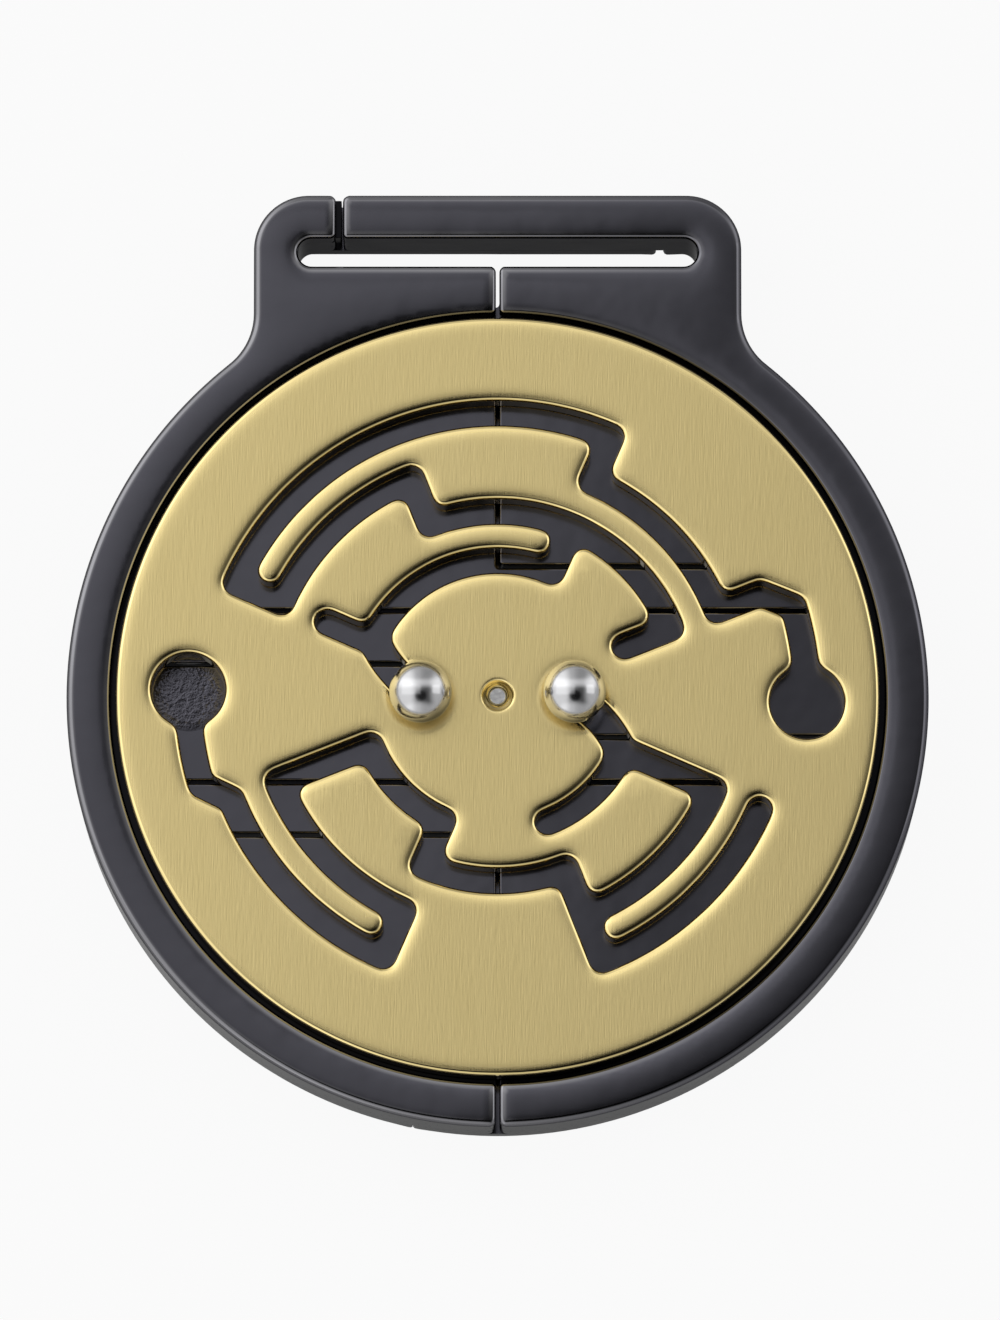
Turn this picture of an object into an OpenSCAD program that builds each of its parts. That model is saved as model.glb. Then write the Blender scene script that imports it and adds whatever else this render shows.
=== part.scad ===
// Cast metal puzzle: a labyrinth disc held in a two-part frame by two ball-headed posts.
// Millimetres. +Z points out of the front, +Y towards the strap slot.
// The origin is the middle of the footprint, on the plane that the back rests on.

/* [Frame] */
// Gap between the disc's rim and the round pocket that it lies in
pocket_gap = 0.4; // [0.2:0.05:0.8]
// Width of the frame's ring around the pocket
ring_w = 3.1; // [2.4:0.1:4.5]
// Thickness of the frame
frame_t = 8; // [7:0.1:9]
// Width of the strap head across its straight sides
head_w = 34.5; // [33.5:0.1:38]
// Radius of the strap head's upper corners
head_corner_r = 3.9; // [2:0.1:4.5]
// Radius of the hollow curve that blends the head into the ring
flare_r = 4.6; // [3:0.1:6]
// Width of the strap head beside either end of the strap slot
cheek_w = 3.1; // [2.5:0.1:4.5]
// Height of the strap slot
slot_h = 2; // [1.6:0.1:2.4]
// Height of the strap slot's centre line above the ring's outer radius
slot_rise = 1.3; // [0.8:0.1:2.5]
// Width of the strap bar above the slot
bar_w = 3.1; // [2.6:0.1:4]
// Bevel along the front outer edge
edge_bevel = 0.5; // [0.2:0.05:0.8]
// Bevel around the mouth of the pocket and of the strap slot
mouth_bevel = 0.3; // [0.1:0.05:0.3]
// Bevel along the back outer edge
back_bevel = 0.35; // [0.2:0.05:0.6]

/* [Joint between the halves] */
// Gap between the halves at every wall that faces another
split_gap = 0.25; // [0.15:0.05:0.4]
// Distance by which the comb teeth stop short of the disc's rim
tooth_short = 2.4; // [2.4:0.1:8]
// Gap at the tips of the comb teeth
tip_gap = 0.5; // [0.3:0.1:0.7]
// Upper sliding line between the combs
slide_hi = 6.4; // [6.2:0.05:6.6]
// Lower sliding line between the combs
slide_lo = -5.8; // [-6:0.05:-5.6]
// Distance of the outer comb lines from the disc's axis
comb_out = 9.55; // [9.3:0.05:10]
// Distance of the inner comb lines from the disc's axis
comb_in = 2.6; // [2.4:0.05:3]
// Depth of the tongues on the sliding lines
tongue_d = 0.8; // [0.5:0.05:1]
// Thickness of the tongues
tongue_t = 1.4; // [1:0.1:1.6]
// Height of the tongues' middle above the back
tongue_z = 3.1; // [2.9:0.1:3.3]
// Running clearance around tongues and laps
slide_gap = 0.1; // [0.05:0.05:0.15]
// Thickness of the rear layer where the halves lap
lap_t = 2.1; // [1.6:0.1:2.2]
// Place of the front joint in the strap bar
lap_front_x = -11.2; // [-12:0.05:-9]
// Place of the rear joint in the strap bar
lap_rear_x = 11.55; // [9:0.05:12]
// Gap at the joints in the strap bar
lap_end_gap = 0.5; // [0.4:0.1:0.8]
// Reach of the rear lap at the foot of the ring
foot_lap = 6; // [4:0.5:8]
// Depth of the rear lap at the foot of the ring, inwards from the ring's edge
foot_lap_w = 4.2; // [3.6:0.1:6]
// Reach of the rear layer behind the upright split, which closes it from behind
back_lap = 1.5; // [1:0.1:3]
// Distance of that lap's upper end inside the ring's outer radius
back_lap_in = 1.7; // [1.5:0.1:2.5]

/* [Disc] */
// Radius of the disc
disc_r = 26.9; // [25:0.1:29]
// Thickness of the disc
disc_t = 3; // [2.6:0.1:3.2]
// Height of the disc's face above the frame's front
disc_proud = 0.7; // [0.4:0.1:1]
// Gap between the disc and the frame's floor
disc_gap = 0.1; // [0.05:0.05:0.3]
// Bevel around the disc's rim
rim_bevel = 0.25; // [0.1:0.05:0.4]

/* [Labyrinth] */
// Width of the labyrinth's slots
track_w = 1.72; // [1.66:0.02:1.8]
// Radius of the innermost round track
track_r = 9.61; // [9.5:0.05:9.7]
// Distance of the outermost round track inside the circle of the keyholes
track_in = 1.69; // [1.6:0.01:1.8]
// Angle of the first of the eight radial gates
first_gate = 21.45; // [20.5:0.5:22.5]
// Radius of the two keyholes
key_r = 2.6; // [2.5:0.05:2.65]
// Width of the rim outside the keyholes
key_rim = 2.5; // [2:0.1:3]
// Angle of the keyholes
key_turn = -1.15; // [-2:0.25:0]
// Angle at which the ways out join the keyholes' tracks
exit_turn = 16.9; // [16:0.5:18]
// Distance of the bend in the upper way out inside the circle of the keyholes
bend_in = 1.9; // [1.6:0.1:2.3]
// Radius of the corners of the walls between the slots
wall_corner_r = 0.85; // [0.3:0.05:0.85]
// Radius of the hub's corners beside the leading slots
hub_round = 1.1; // [0.8:0.1:1.2]

/* [Posts, balls and pin] */
// Distance of each post from the disc's axis with the puzzle closed
post_at = 5.42; // [5.3:0.02:5.5]
// Diameter of the posts
post_d = 1.5; // [1.4:0.05:1.5]
// Depth to which a post is pressed into its half
post_seat = 4; // [3:0.1:4.5]
// Diameter of the balls
ball_d = 4.4; // [4:0.1:4.6]
// Gap between a ball and the disc's face beside the slot
ball_gap = 0.13; // [0.1:0.01:0.3]
// Depth of the post's hole in the ball
ball_seat = 1.6; // [1.2:0.1:2]
// Radius of the dished ball seats, across their rims
seat_r = 2.55; // [2.3:0.05:2.6]
// Depth of the dished ball seats
seat_depth = 0.9; // [0.5:0.1:1.1]
// Turn of the disc that takes the posts from their seats to the first track
lead_turn = 23; // [20:0.5:24]
// Diameter of the centre pin
pin_d = 1.3; // [1.1:0.05:1.4]
// Depth of the pin's end below the disc's face
pin_sunk = 0.6; // [0.4:0.1:0.8]
// Depth to which the pin stands between the halves
pin_seat = 2; // [1:0.1:3]
// Radius of the countersink around the pin
sink_r = 1.15; // [1:0.05:1.3]
// Running clearance around the pin
pin_gap = 0.05; // [0.03:0.01:0.08]
// Clearance between pressed pieces
press_gap = 0.01; // [0.01:0.01:0.02]

/* [Hidden] */
$fn = 96;
eps = 0.01;
big = 80;

// The frame is built outwards from the disc
pocket_r = disc_r + pocket_gap;
ring_r = pocket_r + ring_w;
slot_len = head_w - 2 * cheek_w;
slot_y = ring_r + slot_rise;
tooth_reach = disc_r - tooth_short;
// The keyholes keep their rim, and four round tracks share the way out to them
key_at = disc_r - key_rim - key_r;
track_pitch = (key_at - track_in - track_r) / 3;
bend_r = key_at - bend_in;
bar_top = slot_y + slot_h / 2 + bar_w;
mid_y = (bar_top - ring_r) / 2;
disc_top = frame_t + disc_proud;
disc_bottom = disc_top - disc_t;
floor_z = disc_bottom - disc_gap;
ball_z = disc_top + ball_gap + sqrt(pow(ball_d / 2, 2) - pow(track_w / 2, 2));
seat_ball_r = (seat_r * seat_r + seat_depth * seat_depth) / (2 * seat_depth);
// Where the hollow flare touches the head's side and the ring
flare_x = head_w / 2 + flare_r;
flare_y = sqrt(pow(ring_r + flare_r, 2) - pow(flare_x, 2));
flare_turn = atan2(flare_y, flare_x);
// Radial lead of the posts, in millimetres per degree of turn
lead = (track_r - post_at) / lead_turn;
// The walls' corner radius, kept under half the thickness of a wall
wall_round = min(wall_corner_r, (track_pitch - track_w) / 2 - 0.03);
// The depth by which a rounded end or corner cuts past the wall that it runs into
blend = 0.01;
end_r = track_w / 2 + blend;
black = [0.17, 0.165, 0.19];
gold = [0.78, 0.7, 0.48];
steel = [0.8, 0.8, 0.82];

// Radius of track n, counted from 1 at the innermost
function track(n) = track_r + (n - 1) * track_pitch;
// Angle of radial gate g, counted from 0
function gate(g) = first_gate + 45 * g;
function polar(r, a) = [r * cos(a), r * sin(a)];

// Outline of the frame: ring, strap head and the hollow flares between them
module outline() {
    circle(ring_r, $fn = 240);
    corner_y = bar_top - head_corner_r;
    corner_x = head_w / 2 - head_corner_r;
    translate([-head_w / 2, 0]) square([head_w, corner_y]);
    translate([-corner_x, 0]) square([2 * corner_x, bar_top]);
    for (side = [-1, 1])
        translate([side * corner_x, corner_y]) circle(head_corner_r);
    difference() {
        foot = polar(ring_r, flare_turn);
        polygon([[-foot[0], foot[1]], [-head_w / 2, flare_y], [head_w / 2, flare_y],
                 [foot[0], foot[1]]]);
        for (side = [-1, 1])
            translate([side * flare_x, flare_y]) circle(flare_r);
    }
}

// Stadium of the strap slot, grown by a margin
module slot_shape(grow = 0) {
    half = (slot_len - slot_h) / 2;
    h = slot_h + 2 * grow;
    translate([-half, slot_y - h / 2]) square([2 * half, h]);
    for (side = [-1, 1])
        translate([side * half, slot_y]) circle(h / 2);
}

// Bevel cutter along a circular edge of radius r, which leaves the metal inside the edge
module arc_bevel(r, cut, a, b) {
    rotate([0, 0, a])
        rotate_extrude(angle = b - a, $fn = 240)
            polygon([[r - cut, eps], [r + eps, eps], [r + eps, -cut - eps], [r, -cut]]);
}

// Bevel cutter along a circular edge whose metal lies outside the radius r
module hollow_bevel(r, cut, a, b) {
    rotate([0, 0, a])
        rotate_extrude(angle = b - a, $fn = 240)
            polygon([[r + cut, eps], [r - eps, eps], [r - eps, -cut - eps], [r, -cut]]);
}

// Bevel cutter along a straight edge that runs from the origin along +X, metal towards -Y
module line_bevel(len, cut) {
    rotate([90, 0, 90])
        linear_extrude(len)
            polygon([[-cut, eps], [eps, eps], [eps, -cut - eps], [0, -cut]]);
}

// Bevel along the whole outer edge of the right side of the frame, at height 0
module outer_bevel(cut) {
    corner_y = bar_top - head_corner_r;
    corner_x = head_w / 2 - head_corner_r;
    arc_bevel(ring_r, cut, -90, flare_turn);
    translate([flare_x, flare_y, 0]) hollow_bevel(flare_r, cut, 180, 180 + flare_turn);
    translate([head_w / 2, corner_y, 0]) rotate([0, 0, -90]) line_bevel(corner_y - flare_y, cut);
    translate([corner_x, corner_y, 0]) arc_bevel(head_corner_r, cut, 0, 90);
    translate([-eps, bar_top, 0]) line_bevel(corner_x + eps, cut);
}

// The frame before it is parted: pocket, strap slot and bevelled edges
module blank() {
    difference() {
        linear_extrude(frame_t) outline();
        translate([0, 0, floor_z]) cylinder(r = pocket_r, h = big, $fn = 240);
        translate([0, 0, frame_t - mouth_bevel])
            cylinder(r1 = pocket_r, r2 = pocket_r + big, h = big, $fn = 240);
        translate([0, 0, -eps]) linear_extrude(frame_t + 2 * eps) slot_shape();
        for (side = [0, 1])
            mirror([side, 0, 0]) {
                translate([0, 0, frame_t]) outer_bevel(edge_bevel);
                mirror([0, 0, 1]) outer_bevel(back_bevel);
            }
    }
}

// Parting line, walked from the strap bar down, as seen by one half.
// side is -1 for the left half and 1 for the right; top_x and foot_x are its ends, and
// split_x is the place of the upright split above and below the combs.
function parting(side, top_x, foot_x, split_x) =
    let (g = side * split_gap / 2, e = side * lap_end_gap / 2, t = side * tip_gap / 2,
         reach = tooth_reach + tip_gap / 2)
    [[top_x + e, big], [top_x + e, slot_y],
     [g, slot_y], [g, ring_r - back_lap_in - g],
     [split_x + g, ring_r - back_lap_in - g], [split_x + g, comb_out + g],
     [reach + t, comb_out + g], [reach + t, slide_hi - g],
     [-reach + t, slide_hi - g], [-reach + t, comb_in + g],
     [g, comb_in + g], [g, -comb_in + g],
     [reach + t, -comb_in + g], [reach + t, slide_lo - g],
     [-reach + t, slide_lo - g], [-reach + t, -comb_out + g],
     [split_x + g, -comb_out + g], [split_x + g, foot_lap_w - ring_r - g],
     [foot_x + g, foot_lap_w - ring_r - g], [foot_x + g, -big]];

// The plan area that belongs to one half, on that side of its parting line
module half_plan(side, top_x, foot_x, split_x) {
    polygon(concat(parting(side, top_x, foot_x, split_x),
                   [[side * big, -big], [side * big, big]]));
}

// One half of the blank: a front layer and a rear layer that part at different places
module half_body(side) {
    intersection() {
        blank();
        union() {
            translate([0, 0, lap_t]) linear_extrude(big) half_plan(side, lap_front_x, 0, 0);
            translate([0, 0, -eps])
                linear_extrude(lap_t + eps) half_plan(side, lap_rear_x, -foot_lap, -back_lap);
        }
    }
}

// Tongue along a sliding line, from y = line towards +Y, grown by a margin all round
module tongue(line, from_x, to_x, grow = 0) {
    translate([from_x, line - split_gap, tongue_z - tongue_t / 2 - grow])
        cube([to_x - from_x, split_gap * 1.5 + tongue_d + grow, tongue_t + 2 * grow]);
}

module left_half() {
    color(black) translate([0, -mid_y, 0]) {
        difference() {
            half_body(-1);
            // groove for the right half's tongue, on the upper sliding line
            tongue(slide_hi, -tooth_reach - tip_gap, tooth_reach + 1, slide_gap);
            // running clearance over the rear layer of the strap bar
            translate([lap_front_x - lap_end_gap / 2, slot_y, lap_t - slide_gap / 2])
                cube([lap_rear_x - lap_front_x, big, slide_gap]);
            post_hole(-1);
            pin_notch();
        }
        // tongue on the lower sliding line, towards the foot of the ring
        mirror([0, 1, 0]) tongue(-slide_lo, -tooth_reach, tooth_reach - 1);
    }
}

module right_half() {
    color(black) translate([0, -mid_y, 0]) {
        difference() {
            half_body(1);
            mirror([0, 1, 0])
                tongue(-slide_lo, -tooth_reach - 1, tooth_reach + tip_gap, slide_gap);
            // running clearance over the rear lap at the foot of the ring
            translate([-foot_lap - 1, -ring_r - 1, lap_t - slide_gap / 2])
                cube([foot_lap + 1 - split_gap / 2, foot_lap_w + 1, slide_gap]);
            // running clearance over the rear laps behind the split
            for (from_to = [[comb_out, ring_r], [-ring_r, -comb_out]])
                translate([-back_lap - 1, from_to[0], lap_t - slide_gap / 2])
                    cube([back_lap + 1 - split_gap / 2, from_to[1] - from_to[0], slide_gap]);
            post_hole(1);
            pin_notch();
        }
        tongue(slide_hi, -tooth_reach + 1, tooth_reach);
    }
}

// Blind hole in which a post is pressed
module post_hole(side) {
    translate([side * post_at, 0, floor_z - post_seat])
        cylinder(d = post_d + 2 * press_gap, h = big);
}

// Round hole, half in each half's arm, in which the centre pin stands
module pin_notch() {
    translate([0, 0, floor_z - pin_seat]) cylinder(d = pin_d + 4 * pin_gap, h = big);
}

// Slot of width w round the disc's axis between two angles, with open ends
module band(r, a, b, w = track_w) {
    edge = r + track_w;
    mid = (a + b) / 2;
    intersection() {
        difference() {
            circle(r + w / 2, $fn = 240);
            circle(r - w / 2, $fn = 240);
        }
        polygon([[0, 0], 1.6 * polar(edge, a), 1.9 * polar(edge, (a + mid) / 2),
                 1.9 * polar(edge, mid), 1.9 * polar(edge, (b + mid) / 2), 1.6 * polar(edge, b)]);
    }
}

// Straight slot with round ends between two places given as radius and angle
module groove(r1, a1, r2, a2) {
    p = polar(r1, a1);
    q = polar(r2, a2);
    n = [p[1] - q[1], q[0] - p[0]] / norm(q - p) * track_w / 2;
    polygon([p + n, q + n, q - n, p - n]);
    translate(p) circle(end_r);
    translate(q) circle(end_r);
}

// Round track n from gate a to gate b
module run(n, a, b) {
    band(track(n), gate(a), gate(b));
    for (g = [a, b])
        rotate(gate(g)) translate([track(n), 0]) circle(end_r);
}

// Radial slot at gate g from track n to track m
module cross(n, m, g) {
    groove(track(n), gate(g), track(m), gate(g));
}

// Rounding of the wall's corner where track n meets gate g: wall is 1 for the track's
// outer wall and -1 for the inner one, side is 1 for the wall beyond the gate
module corner(n, wall, g, side) {
    h = track_w / 2;
    r = track(n) + wall * h;
    far = r + wall * (wall_round - blend);
    y = h + wall_round - blend;
    c = [sqrt(far * far - y * y), side * y];
    rotate(gate(g))
        difference() {
            polygon([[sqrt(r * r - h * h) - wall * h / 4, side * h * 3 / 4],
                     [c[0], side * h * 3 / 4], c, c * (r - wall * h / 4) / far]);
            translate(c) circle(wall_round);
        }
}

// The leading slot, which winds outwards at a steady rate from a ball's seat at angle 180
// to the first track. The hub's corner beside it is rounded.
module lead_slot() {
    n = 12;
    inner = track_w / 2 + 0.35;
    outer = post_d / 2 + 0.05;
    path = [for (i = [0:n]) polar(post_at + lead * lead_turn * i / n, 180 - lead_turn * i / n)];
    side = [for (i = [0:n])
        let (d = path[min(i + 1, n)] - path[max(i - 1, 0)], u = d / norm(d)) [u[1], -u[0]]];
    hub = track_r - track_w / 2;
    polygon(concat([for (i = [0:n]) path[i] + side[i] * inner],
                   [for (i = [n:-1:0]) path[i] - side[i] * outer]));
    translate(path[0]) circle(end_r);
    // hub corner: the circle touches the first track's inner wall and the slot's inner wall
    p = path[n - 2] + side[n - 2] * inner;
    u = side[n - 2];
    c = p * u + hub_round - blend;
    t = [-u[1], u[0]];
    centre = u * c + t * sqrt(pow(hub - hub_round + blend, 2) - c * c);
    difference() {
        polygon([centre, centre * (hub + 0.2) / (hub - hub_round), path[n - 1], p - u * 0.2,
                 centre - u * (hub_round + 0.2)]);
        translate(centre) circle(hub_round);
    }
}

// Slots that the left post runs in
module upper_maze() {
    lead_slot();
    run(1, 1, 3);
    cross(1, 2, 3);
    cross(1, 2, 1);
    run(2, 0, 2);
    cross(1, 2, 0);
    cross(2, 3, 2);
    run(3, 2, 3);
    cross(3, 4, 3);
    run(4, 1, 3);
    cross(3, 4, 1);
    run(3, 0, 1);
    groove(track(3), gate(0), bend_r, gate(0));
    groove(bend_r, gate(0), key_at, exit_turn);
    band(key_at, key_turn, exit_turn);
    for (c = [[1, 1, 3, -1], [1, 1, 1, 1], [2, -1, 1, 1], [2, -1, 1, -1], [2, -1, 0, 1],
              [2, 1, 2, -1], [3, -1, 2, 1], [3, 1, 3, -1], [4, -1, 3, -1], [4, -1, 1, 1],
              [3, 1, 1, -1], [3, 1, 0, 1]])
        corner(c[0], c[1], c[2], c[3]);
}

// Slots that the right post runs in
module lower_maze() {
    rotate(180) lead_slot();
    run(1, 6, 7);
    cross(1, 3, 7);
    run(3, 6, 7);
    cross(2, 4, 6);
    run(4, 6, 7);
    run(2, 5, 6);
    cross(1, 2, 5);
    run(1, 4, 5);
    cross(1, 3, 4);
    run(3, 4, 5);
    cross(3, 4, 5);
    run(4, 4, 5);
    groove(track(4), gate(4), key_at, 180 + exit_turn);
    band(key_at, 180 + key_turn, 180 + exit_turn);
    for (c = [[1, 1, 7, -1], [3, -1, 7, -1], [3, -1, 6, 1], [3, 1, 6, 1], [4, -1, 6, 1],
              [2, 1, 6, -1], [2, -1, 5, 1], [1, 1, 5, -1], [1, 1, 4, 1], [3, -1, 4, 1],
              [3, 1, 5, -1], [4, -1, 5, -1]])
        corner(c[0], c[1], c[2], c[3]);
}

module maze_plan() {
    upper_maze();
    lower_maze();
    for (a = [0, 180])
        rotate(a + key_turn) translate([key_at, 0]) circle(key_r);
}

module maze_disc() {
    color(gold) translate([0, -mid_y, 0])
        difference() {
            translate([0, 0, disc_bottom]) {
                cylinder(r1 = disc_r - rim_bevel, r2 = disc_r, h = rim_bevel, $fn = 240);
                translate([0, 0, rim_bevel])
                    cylinder(r = disc_r, h = disc_t - 2 * rim_bevel, $fn = 240);
                translate([0, 0, disc_t - rim_bevel])
                    cylinder(r1 = disc_r, r2 = disc_r - rim_bevel, h = rim_bevel, $fn = 240);
            }
            translate([0, 0, disc_bottom - 1]) linear_extrude(disc_t + 2) maze_plan();
            for (side = [-1, 1])
                translate([side * post_at, 0, disc_top - seat_depth + seat_ball_r])
                    sphere(seat_ball_r, $fn = 96);
            translate([0, 0, disc_bottom - 1]) cylinder(d = pin_d + 2 * pin_gap, h = disc_t + 2);
            translate([0, 0, disc_top - pin_sunk])
                cylinder(r1 = pin_d / 2 + pin_gap, r2 = sink_r, h = pin_sunk);
        }
}

module centre_pin() {
    color(steel) translate([0, -mid_y, floor_z - pin_seat + slide_gap])
        cylinder(d = pin_d, h = pin_seat - slide_gap + disc_gap + disc_t - pin_sunk);
}

module post(side) {
    color(steel) translate([side * post_at, -mid_y, floor_z - post_seat])
        cylinder(d = post_d, h = ball_z - ball_d / 2 + ball_seat - floor_z + post_seat);
}

module ball(side) {
    color(steel) translate([side * post_at, -mid_y, ball_z])
        difference() {
            sphere(d = ball_d, $fn = 96);
            translate([0, 0, -ball_d]) cylinder(d = post_d + 2 * press_gap, h = ball_d / 2 + ball_seat);
        }
}

module left_post() { post(-1); }
module right_post() { post(1); }
module left_ball() { ball(-1); }
module right_ball() { ball(1); }

left_half();
right_half();
maze_disc();
centre_pin();
left_post();
left_ball();
right_post();
right_ball();
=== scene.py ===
"""Looks of a cast metal puzzle: a gold labyrinth disc in a black frame of two sliding halves,
with two chrome balls on steel posts. Plans are worked out in millimetres from the disc's axis."""

import bpy
import numpy as np
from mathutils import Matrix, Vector
from mathutils.geometry import delaunay_2d_cdt


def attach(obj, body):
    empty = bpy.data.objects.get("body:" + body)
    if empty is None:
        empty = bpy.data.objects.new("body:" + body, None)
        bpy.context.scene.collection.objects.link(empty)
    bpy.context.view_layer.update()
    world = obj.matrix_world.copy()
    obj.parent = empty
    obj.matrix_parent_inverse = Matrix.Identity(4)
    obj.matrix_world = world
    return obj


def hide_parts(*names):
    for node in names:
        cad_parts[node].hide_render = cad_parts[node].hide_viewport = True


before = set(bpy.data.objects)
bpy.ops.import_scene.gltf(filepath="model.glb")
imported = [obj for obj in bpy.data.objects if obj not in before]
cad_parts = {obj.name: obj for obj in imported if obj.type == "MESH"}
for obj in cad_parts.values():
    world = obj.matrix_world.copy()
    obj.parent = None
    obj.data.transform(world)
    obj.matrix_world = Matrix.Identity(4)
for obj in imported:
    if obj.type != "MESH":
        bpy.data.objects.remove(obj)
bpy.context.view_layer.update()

# Camera. The photograph looks down on the puzzle from a metre away, about seven
# degrees towards its foot, so the walls that face the foot show.
AXIS_Y, DISC_TOP = -2.7, 8.7
PHOTO_W, PHOTO_H, PIXELS_PER_MM = 1000, 1320, 14.2
AXIS_PIXEL_X, AXIS_PIXEL_Y = 497.6, 695.2
CAMERA_AWAY, SENSOR, VIEW_SLANT = 1000, 36, 0.125
tilt = np.arctan(VIEW_SLANT)
camera_up = np.array([0.0, np.cos(tilt), np.sin(tilt)])
camera_back = np.array([0.0, -np.sin(tilt), np.cos(tilt)])
aim = np.array([(PHOTO_W / 2 - AXIS_PIXEL_X) / PIXELS_PER_MM, AXIS_Y, DISC_TOP])
aim = aim + camera_up * (AXIS_PIXEL_Y - PHOTO_H / 2) / PIXELS_PER_MM
camera = bpy.data.objects.new("camera", bpy.data.cameras.new("camera"))
camera.data.sensor_width = SENSOR
camera.data.lens = SENSOR * CAMERA_AWAY / (PHOTO_H / PIXELS_PER_MM)
camera.data.clip_start = 0.05
camera.data.clip_end = 20
camera.location = Vector((aim + camera_back * CAMERA_AWAY) / 1000)
camera.rotation_mode = "QUATERNION"
camera.rotation_quaternion = Vector(-camera_back).to_track_quat("-Z", "Y")
bpy.context.scene.collection.objects.link(camera)
bpy.context.scene.camera = camera

# Frame halves. Two die castings of zinc alloy, black nickel plated and polished, whose
# floors interlock as combs under the disc. Each is a stack of flat layers with rounded
# edges: the back, the plates with their tongue or groove, and the raised ring.
RING_R, POCKET_R, FRAME_T = 30.4, 27.3, 8.0
HEAD_HALF, HEAD_TOP, HEAD_FOOT, HEAD_CORNER, FLARE_R = 17.25, 35.8, -10, 3.9, 4.6
SLOT_Y, SLOT_HALF, SLOT_H = 31.7, 13.15, 2.0
# heights of the floor and of the laps; the tongue's height, thickness and depth
FLOOR_Z, LAP_Z, TONGUE_Z, TONGUE_T, TONGUE_D = 5.6, 2.1, 3.1, 1.4, 0.8
# gaps along the teeth, at their tips and in the strap bar, and the slit at the foot
GAP, TIP_GAP, LAP_GAP, FOOT_SLIT = 0.25, 0.5, 0.5, 0.02
# the teeth's reach, their outer and inner edges, and the lines on which they slide
REACH, COMB_OUT, COMB_IN, SLIDE_HI, SLIDE_LO = 24.5, 9.55, 2.6, 6.4, -5.8
# depth of the rear lap at the foot, and distance of the upper rear lap inside the ring
FOOT_LAP_W, BACK_LAP_IN = 4.2, 1.7
# across the frame: the bar's gap in front and behind, the rear split, and its slit at the foot
BAR_GAP_X, REAR_GAP_X, REAR_SPLIT_X, FOOT_SLIT_X = -11.2, 11.55, -1.5, -6
# roundings of edges, of the corners of the plans, and of the halves' ends in front and behind
OUTER_ROUND, SPLIT_ROUND, MOUTH_ROUND, FLOOR_ROUND, PLAN_ROUND, CRISP = 0.45, 0.27, 0.3, 0.16, 0.3, 0.001
FRONT_END_ROUND, REAR_END_ROUND = 0.48, 0.03
BEYOND = 60


def frame_outline(x, y):
    """Depth inside the frame's outline. Ring: R - |p|. Head: a box with round upper corners. The
    larger of these two, but in the wedge of a flare, seen from its hollow circle's middle c between
    the points where the circle touches the head's side and the ring, |p - c| - r."""
    ax = np.abs(x)
    ring = RING_R - np.hypot(x, y)
    qx, qy = ax - (HEAD_HALF - HEAD_CORNER), y - (HEAD_TOP - HEAD_CORNER)
    head = HEAD_CORNER - np.hypot(np.maximum(qx, 0), np.maximum(qy, 0)) - np.minimum(np.maximum(qx, qy), 0)
    head = np.minimum(head, y - HEAD_FOOT)
    cx = HEAD_HALF + FLARE_R
    cy = np.sqrt((RING_R + FLARE_R) ** 2 - cx**2)
    wedge = (y < cy) & (y * cx > ax * cy)
    return np.where(wedge, np.hypot(ax - cx, y - cy) - FLARE_R, np.maximum(ring, head))


def strap_slot(x, y):
    """Distance outside the strap slot: from the slot's middle line, less half its height."""
    return np.hypot(np.maximum(np.abs(x) - SLOT_HALF, 0), y - SLOT_Y) - SLOT_H / 2


def round_meet(a, b, r):
    """Depth inside both of two regions, with their common corner rounded to radius r:
    max(r, min(a, b)) less the length of (r - a, r - b) where these are above 0."""
    return np.maximum(r, np.minimum(a, b)) - np.hypot(np.maximum(r - a, 0), np.maximum(r - b, 0))


def rounded_corners(points, r, n=6):
    """Polygon whose corners become arcs of radius r: each corner's arc is swept from one touching
    point to the other as a quadratic blend of the two touching points and the corner."""
    p = np.asarray(points, float)
    to_prev, to_next = np.roll(p, 1, 0) - p, np.roll(p, -1, 0) - p
    lp, ln = np.linalg.norm(to_prev, axis=1), np.linalg.norm(to_next, axis=1)
    cut = np.minimum(r, 0.45 * np.minimum(lp, ln))[:, None]
    a, b = p + to_prev / lp[:, None] * cut, p + to_next / ln[:, None] * cut
    t = np.linspace(0, 1, n)[None, :, None]
    curve = (1 - t) ** 2 * a[:, None] + 2 * t * (1 - t) * p[:, None] + t**2 * b[:, None]
    return curve.reshape(-1, 2)


def polygon_depth(points):
    """Depth inside a polygon as a function of x and y: the least distance to its edges,
    counted above 0 where a ray towards +X crosses the edges an odd number of times."""
    p, q = points, np.roll(points, -1, 0)

    def depth(x, y):
        best = np.full(np.shape(x), 1e9)
        odd = np.zeros(np.shape(x), bool)
        for (ax, ay), (bx, by) in zip(p, q):
            ex, ey = bx - ax, by - ay
            t = np.clip(((x - ax) * ex + (y - ay) * ey) / (ex * ex + ey * ey + 1e-12), 0, 1)
            best = np.minimum(best, (x - ax - t * ex) ** 2 + (y - ay - t * ey) ** 2)
            if ay != by:
                odd ^= ((ay > y) != (by > y)) & (x < ax + (y - ay) * ex / ey)
        return np.where(odd, 1.0, -1.0) * np.sqrt(best)

    return depth


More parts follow.
